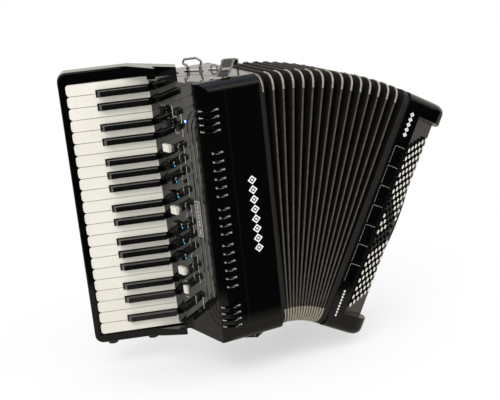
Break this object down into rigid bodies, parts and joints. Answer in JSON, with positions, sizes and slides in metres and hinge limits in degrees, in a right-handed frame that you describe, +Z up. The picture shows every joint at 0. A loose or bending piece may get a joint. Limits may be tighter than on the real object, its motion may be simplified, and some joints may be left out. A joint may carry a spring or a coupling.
{
  "type": "piano accordion",
  "caption": "Electronic piano accordion with its bellows drawn open into a fan: piano keys and side controls at one end, slanted bass button deck at the other.",
  "frame": {"origin": "middle of the flat back face of the treble body", "axes": "+X towards the bass side, +Y out of the back face towards the player, +Z up along the keyboard"},
  "size_m": [0.6165, 0.2141, 0.4976],
  "materials": {
    "gloss_black": "gloss",
    "ivory": "gloss",
    "dark_plastic": "satin",
    "window": "gloss",
    "steel": "satin",
    "circuit": "satin",
    "speaker": "matte",
    "chrome": "gloss",
    "rubber": "matte",
    "leather": "satin",
    "bellows_cloth": "matte",
    "frame_wood": "satin",
    "battery": "satin"
  },
  "bodies": {
    "treble": {"treble_case": "gloss_black", "grille_cover": "gloss_black", "control_panel": "gloss_black", "display_window": "window", "keyboard_casing": "gloss_black", "key_axle": "steel", "key_springs": "steel", "key_sensor_board": "circuit", "treble_speakers": "speaker", "main_board": "circuit", "strap_brackets": "chrome", "treble_screws": "chrome", "treble_feet": "rubber", "treble_bellows_frame": "frame_wood"},
    "white_tabs": {"register_tabs_white": "ivory"},
    "black_tabs": {"register_tabs_black": "gloss_black"},
    "selectors": {"selector_buttons": "dark_plastic"},
    "recall": {"recall_button": "ivory"},
    "volume_knob_body": {"volume_knob": "dark_plastic"},
    "balance_knob_body": {"balance_knob": "dark_plastic"},
    "white_keys_c_body": {"white_keys_c": "ivory"},
    "white_keys_d_body": {"white_keys_d": "ivory"},
    "white_keys_e_body": {"white_keys_e": "ivory"},
    "white_keys_f_body": {"white_keys_f": "ivory"},
    "white_keys_g_body": {"white_keys_g": "ivory"},
    "white_keys_a_body": {"white_keys_a": "ivory"},
    "white_keys_b_body": {"white_keys_b": "ivory"},
    "black_keys_c_sharp_body": {"black_keys_c_sharp": "gloss_black"},
    "black_keys_d_sharp_body": {"black_keys_d_sharp": "gloss_black"},
    "black_keys_f_sharp_body": {"black_keys_f_sharp": "gloss_black"},
    "black_keys_g_sharp_body": {"black_keys_g_sharp": "gloss_black"},
    "black_keys_a_sharp_body": {"black_keys_a_sharp": "gloss_black"},
    "strap_top": {"bellows_strap_top": "leather"},
    "strap_bottom": {"bellows_strap_bottom": "leather"},
    "fold_01": {"bellows_fold_01": "bellows_cloth"},
    "fold_02": {"bellows_fold_02": "bellows_cloth"},
    "fold_03": {"bellows_fold_03": "bellows_cloth"},
    "fold_04": {"bellows_fold_04": "bellows_cloth"},
    "fold_05": {"bellows_fold_05": "bellows_cloth"},
    "fold_06": {"bellows_fold_06": "bellows_cloth"},
    "fold_07": {"bellows_fold_07": "bellows_cloth"},
    "fold_08": {"bellows_fold_08": "bellows_cloth"},
    "fold_09": {"bellows_fold_09": "bellows_cloth"},
    "fold_10": {"bellows_fold_10": "bellows_cloth"},
    "fold_11": {"bellows_fold_11": "bellows_cloth"},
    "fold_12": {"bellows_fold_12": "bellows_cloth"},
    "fold_13": {"bellows_fold_13": "bellows_cloth"},
    "fold_14": {"bellows_fold_14": "bellows_cloth"},
    "bass": {"bass_bellows_frame": "frame_wood", "bass_case": "gloss_black", "bass_button_deck": "gloss_black", "bass_sensor_board": "circuit", "hand_strap": "leather", "battery_pack": "battery", "bass_feet": "rubber"},
    "single_buttons": {"bass_buttons_single": "dark_plastic"},
    "chord_buttons": {"bass_buttons_chord": "dark_plastic"},
    "bass_tabs": {"bass_register_tabs": "gloss_black"},
    "air": {"air_button": "dark_plastic"},
    "wheel": {"strap_wheel": "dark_plastic"}
  },
  "joints": [
    {"name": "press_white_tabs", "type": "slide", "parent": "treble", "child": "white_tabs", "axis": [0.9853, 0.1706, 0], "range_m": [0, 0.0025], "stiffness_N_per_m": 400},
    {"name": "press_black_tabs", "type": "slide", "parent": "treble", "child": "black_tabs", "axis": [0.9853, 0.1706, 0], "range_m": [0, 0.0025], "stiffness_N_per_m": 400},
    {"name": "press_selectors", "type": "slide", "parent": "treble", "child": "selectors", "axis": [0.9853, 0.1706, 0], "range_m": [0, 0.001], "stiffness_N_per_m": 600},
    {"name": "press_recall", "type": "slide", "parent": "treble", "child": "recall", "axis": [0.9853, 0.1706, 0], "range_m": [0, 0.0025], "stiffness_N_per_m": 400},
    {"name": "turn_volume_knob", "type": "hinge", "parent": "treble", "child": "volume_knob_body", "pos_m": [-0.08221, -0.08539, 0.159], "axis": [-0.9853, -0.1706, 0], "range_deg": [-140, 140]},
    {"name": "turn_balance_knob", "type": "hinge", "parent": "treble", "child": "balance_knob_body", "pos_m": [-0.07965, -0.10017, 0.14], "axis": [-0.9853, -0.1706, 0], "range_deg": [-140, 140]},
    {"name": "press_white_keys_c", "type": "hinge", "parent": "treble", "child": "white_keys_c_body", "pos_m": [-0.05747, -0.05584, 0], "axis": [0, 0, -1], "range_deg": [0, 2], "stiffness_Nm_per_rad": 40},
    {"name": "press_white_keys_d", "type": "hinge", "parent": "treble", "child": "white_keys_d_body", "pos_m": [-0.05747, -0.05584, 0], "axis": [0, 0, -1], "range_deg": [0, 2], "stiffness_Nm_per_rad": 40},
    {"name": "press_white_keys_e", "type": "hinge", "parent": "treble", "child": "white_keys_e_body", "pos_m": [-0.05747, -0.05584, 0], "axis": [0, 0, -1], "range_deg": [0, 2], "stiffness_Nm_per_rad": 40},
    {"name": "press_white_keys_f", "type": "hinge", "parent": "treble", "child": "white_keys_f_body", "pos_m": [-0.05747, -0.05584, 0], "axis": [0, 0, -1], "range_deg": [0, 2], "stiffness_Nm_per_rad": 40},
    {"name": "press_white_keys_g", "type": "hinge", "parent": "treble", "child": "white_keys_g_body", "pos_m": [-0.05747, -0.05584, 0], "axis": [0, 0, -1], "range_deg": [0, 2], "stiffness_Nm_per_rad": 40},
    {"name": "press_white_keys_a", "type": "hinge", "parent": "treble", "child": "white_keys_a_body", "pos_m": [-0.05747, -0.05584, 0], "axis": [0, 0, -1], "range_deg": [0, 2], "stiffness_Nm_per_rad": 40},
    {"name": "press_white_keys_b", "type": "hinge", "parent": "treble", "child": "white_keys_b_body", "pos_m": [-0.05747, -0.05584, 0], "axis": [0, 0, -1], "range_deg": [0, 2], "stiffness_Nm_per_rad": 40},
    {"name": "press_black_keys_c_sharp", "type": "hinge", "parent": "treble", "child": "black_keys_c_sharp_body", "pos_m": [-0.05747, -0.05584, 0], "axis": [0, 0, -1], "range_deg": [0, 2], "stiffness_Nm_per_rad": 40},
    {"name": "press_black_keys_d_sharp", "type": "hinge", "parent": "treble", "child": "black_keys_d_sharp_body", "pos_m": [-0.05747, -0.05584, 0], "axis": [0, 0, -1], "range_deg": [0, 2], "stiffness_Nm_per_rad": 40},
    {"name": "press_black_keys_f_sharp", "type": "hinge", "parent": "treble", "child": "black_keys_f_sharp_body", "pos_m": [-0.05747, -0.05584, 0], "axis": [0, 0, -1], "range_deg": [0, 2], "stiffness_Nm_per_rad": 40},
    {"name": "press_black_keys_g_sharp", "type": "hinge", "parent": "treble", "child": "black_keys_g_sharp_body", "pos_m": [-0.05747, -0.05584, 0], "axis": [0, 0, -1], "range_deg": [0, 2], "stiffness_Nm_per_rad": 40},
    {"name": "press_black_keys_a_sharp", "type": "hinge", "parent": "treble", "child": "black_keys_a_sharp_body", "pos_m": [-0.05747, -0.05584, 0], "axis": [0, 0, -1], "range_deg": [0, 2], "stiffness_Nm_per_rad": 40},
    {"name": "swing_strap_top", "type": "hinge", "parent": "treble", "child": "strap_top", "pos_m": [0.022, -0.122, 0.221], "axis": [-0.8178, 0.5755, 0], "range_deg": [0, 150]},
    {"name": "swing_strap_bottom", "type": "hinge", "parent": "treble", "child": "strap_bottom", "pos_m": [0.022, -0.122, -0.221], "axis": [0.8178, -0.5755, 0], "range_deg": [0, 150]},
    {"name": "bellows_01", "type": "hinge", "parent": "treble", "child": "fold_01", "pos_m": [0.04405, -0.096, -0.203], "axis": [0, 1, 0], "range_deg": [-1.97, 0.6]},
    {"name": "bellows_02", "type": "hinge", "parent": "fold_01", "child": "fold_02", "pos_m": [0.04815, -0.096, -0.20314], "axis": [0, 1, 0], "range_deg": [-1.97, 0.6]},
    {"name": "bellows_03", "type": "hinge", "parent": "fold_02", "child": "fold_03", "pos_m": [0.05224, -0.096, -0.20342], "axis": [0, 1, 0], "range_deg": [-1.97, 0.6]},
    {"name": "bellows_04", "type": "hinge", "parent": "fold_03", "child": "fold_04", "pos_m": [0.05632, -0.096, -0.20384], "axis": [0, 1, 0], "range_deg": [-1.97, 0.6]},
    {"name": "bellows_05", "type": "hinge", "parent": "fold_04", "child": "fold_05", "pos_m": [0.06038, -0.096, -0.20441], "axis": [0, 1, 0], "range_deg": [-1.97, 0.6]},
    {"name": "bellows_06", "type": "hinge", "parent": "fold_05", "child": "fold_06", "pos_m": [0.06442, -0.096, -0.20511], "axis": [0, 1, 0], "range_deg": [-1.97, 0.6]},
    {"name": "bellows_07", "type": "hinge", "parent": "fold_06", "child": "fold_07", "pos_m": [0.06843, -0.096, -0.20594], "axis": [0, 1, 0], "range_deg": [-1.97, 0.6]},
    {"name": "bellows_08", "type": "hinge", "parent": "fold_07", "child": "fold_08", "pos_m": [0.07241, -0.096, -0.20692], "axis": [0, 1, 0], "range_deg": [-1.97, 0.6]},
    {"name": "bellows_09", "type": "hinge", "parent": "fold_08", "child": "fold_09", "pos_m": [0.07636, -0.096, -0.20803], "axis": [0, 1, 0], "range_deg": [-1.97, 0.6]},
    {"name": "bellows_10", "type": "hinge", "parent": "fold_09", "child": "fold_10", "pos_m": [0.08027, -0.096, -0.20928], "axis": [0, 1, 0], "range_deg": [-1.97, 0.6]},
    {"name": "bellows_11", "type": "hinge", "parent": "fold_10", "child": "fold_11", "pos_m": [0.08413, -0.096, -0.21066], "axis": [0, 1, 0], "range_deg": [-1.97, 0.6]},
    {"name": "bellows_12", "type": "hinge", "parent": "fold_11", "child": "fold_12", "pos_m": [0.08794, -0.096, -0.21217], "axis": [0, 1, 0], "range_deg": [-1.97, 0.6]},
    {"name": "bellows_13", "type": "hinge", "parent": "fold_12", "child": "fold_13", "pos_m": [0.09169, -0.096, -0.21381], "axis": [0, 1, 0], "range_deg": [-1.97, 0.6]},
    {"name": "bellows_14", "type": "hinge", "parent": "fold_13", "child": "fold_14", "pos_m": [0.09539, -0.096, -0.21558], "axis": [0, 1, 0], "range_deg": [-1.97, 0.6]},
    {"name": "bellows_15", "type": "hinge", "parent": "fold_14", "child": "bass", "pos_m": [0.09903, -0.096, -0.21748], "axis": [0, 1, 0], "range_deg": [-1.97, 0.6]},
    {"name": "press_single_buttons", "type": "slide", "parent": "bass", "child": "single_buttons", "axis": [-0.511, 0.8095, 0.2891], "range_m": [0, 0.0035], "stiffness_N_per_m": 400},
    {"name": "press_chord_buttons", "type": "slide", "parent": "bass", "child": "chord_buttons", "axis": [-0.511, 0.8095, 0.2891], "range_m": [0, 0.0035], "stiffness_N_per_m": 400},
    {"name": "press_bass_tabs", "type": "slide", "parent": "bass", "child": "bass_tabs", "axis": [0, 1, 0], "range_m": [0, 0.002], "stiffness_N_per_m": 400},
    {"name": "press_air_button", "type": "slide", "parent": "bass", "child": "air", "axis": [-0.8704, 0, 0.4924], "range_m": [0, 0.006], "stiffness_N_per_m": 400},
    {"name": "turn_strap_wheel", "type": "hinge", "parent": "bass", "child": "wheel", "pos_m": [0.38084, -0.056, 0.08152], "axis": [0.8704, 0, -0.4924], "continuous": true}
  ],
  "couplings": [
    {"joint": "bellows_01", "follows": "bellows_15", "ratio": 1},
    {"joint": "bellows_02", "follows": "bellows_15", "ratio": 1},
    {"joint": "bellows_03", "follows": "bellows_15", "ratio": 1},
    {"joint": "bellows_04", "follows": "bellows_15", "ratio": 1},
    {"joint": "bellows_05", "follows": "bellows_15", "ratio": 1},
    {"joint": "bellows_06", "follows": "bellows_15", "ratio": 1},
    {"joint": "bellows_07", "follows": "bellows_15", "ratio": 1},
    {"joint": "bellows_08", "follows": "bellows_15", "ratio": 1},
    {"joint": "bellows_09", "follows": "bellows_15", "ratio": 1},
    {"joint": "bellows_10", "follows": "bellows_15", "ratio": 1},
    {"joint": "bellows_11", "follows": "bellows_15", "ratio": 1},
    {"joint": "bellows_12", "follows": "bellows_15", "ratio": 1},
    {"joint": "bellows_13", "follows": "bellows_15", "ratio": 1},
    {"joint": "bellows_14", "follows": "bellows_15", "ratio": 1}
  ]
}
